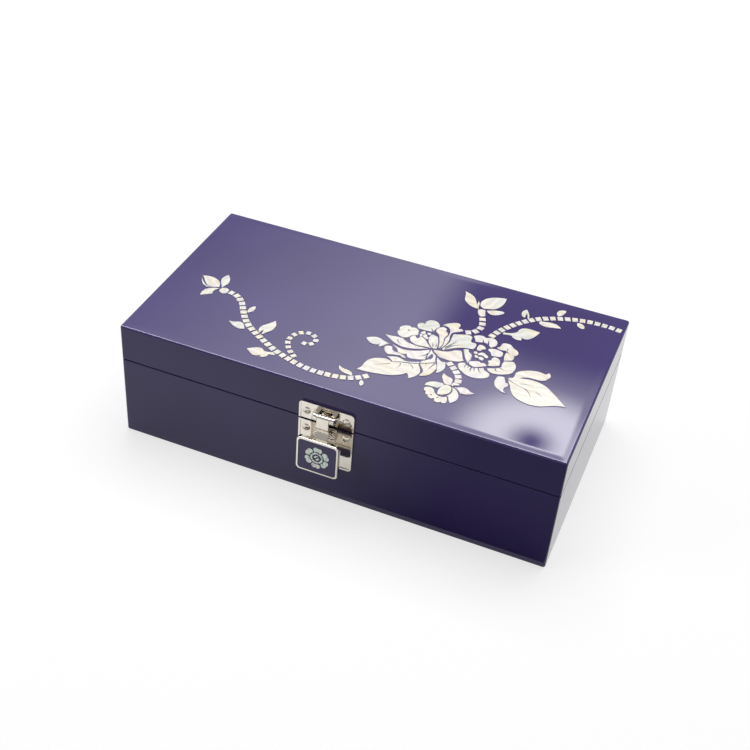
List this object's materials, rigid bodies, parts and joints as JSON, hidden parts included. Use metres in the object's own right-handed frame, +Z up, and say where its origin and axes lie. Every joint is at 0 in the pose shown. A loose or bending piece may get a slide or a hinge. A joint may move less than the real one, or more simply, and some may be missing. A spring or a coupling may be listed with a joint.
{
  "type": "mahjong case",
  "caption": "Lacquered wooden mahjong case with a hinged lid, mother-of-pearl peony inlay, a drop-plate hasp and a divided velvet inside.",
  "frame": {"origin": "centre of the underside's flat resting face", "axes": "+X along the case towards its right end seen from the clasp side, +Y to the hinged back, +Z up"},
  "size_m": [0.256, 0.1523, 0.0755],
  "materials": {
    "purple_lacquer": "gloss",
    "bottom_board": "satin",
    "base_felt": "matte",
    "velvet": "matte",
    "divider_velvet": "matte",
    "mother_of_pearl": "gloss",
    "polished_nickel": "polished",
    "inset_lacquer": "gloss",
    "abalone": "gloss",
    "hinge_steel": "satin"
  },
  "bodies": {
    "base": {"base_front_board": "purple_lacquer", "base_back_board": "purple_lacquer", "base_left_board": "purple_lacquer", "base_right_board": "purple_lacquer", "base_bottom_panel": "bottom_board", "base_felt_sheet": "base_felt", "base_floor_lining": "velvet", "base_lining_front": "velvet", "base_lining_back": "velvet", "base_lining_left": "velvet", "base_lining_right": "velvet", "divider_cross": "divider_velvet", "divider_long_1": "divider_velvet", "divider_long_2": "divider_velvet", "divider_long_3": "divider_velvet", "clasp_lower_plate": "polished_nickel", "clasp_screws_base": "polished_nickel", "hinge_left_base_leaf": "hinge_steel", "hinge_right_base_leaf": "hinge_steel", "hinge_left_pin": "hinge_steel", "hinge_right_pin": "hinge_steel", "hinge_screws_base": "hinge_steel"},
    "lid": {"lid_front_board": "purple_lacquer", "lid_back_board": "purple_lacquer", "lid_left_board": "purple_lacquer", "lid_right_board": "purple_lacquer", "lid_top_panel": "purple_lacquer", "lid_lining_front": "velvet", "lid_lining_back": "velvet", "lid_lining_left": "velvet", "lid_lining_right": "velvet", "lid_pad": "velvet", "clasp_upper_plate": "polished_nickel", "clasp_screws_lid": "polished_nickel", "clasp_pin": "polished_nickel", "hinge_left_lid_leaf": "hinge_steel", "hinge_right_lid_leaf": "hinge_steel", "hinge_screws_lid": "hinge_steel", "inlay_vine_left": "mother_of_pearl", "inlay_vine_right": "mother_of_pearl", "inlay_leaves_left": "mother_of_pearl", "inlay_leaves_right": "mother_of_pearl", "inlay_bud_left": "mother_of_pearl", "inlay_bud_top": "mother_of_pearl", "inlay_bud_low": "mother_of_pearl", "inlay_leaf_large_left": "mother_of_pearl", "inlay_leaf_large_right": "mother_of_pearl", "inlay_peony_left": "mother_of_pearl", "inlay_peony_right": "mother_of_pearl"},
    "hasp": {"hasp_strap": "polished_nickel", "drop_plate": "polished_nickel", "drop_plate_inset": "inset_lacquer", "drop_plate_emblem": "abalone"}
  },
  "joints": [
    {"name": "lid_hinge", "type": "hinge", "parent": "base", "child": "lid", "pos_m": [0, 0.0702, 0.0523], "axis": [-1, 0, 0], "range_deg": [0, 100]},
    {"name": "hasp_swing", "type": "hinge", "parent": "lid", "child": "hasp", "pos_m": [-0.0013, -0.0726, 0.0589], "axis": [-1, 0, 0], "range_deg": [0, 150]}
  ]
}
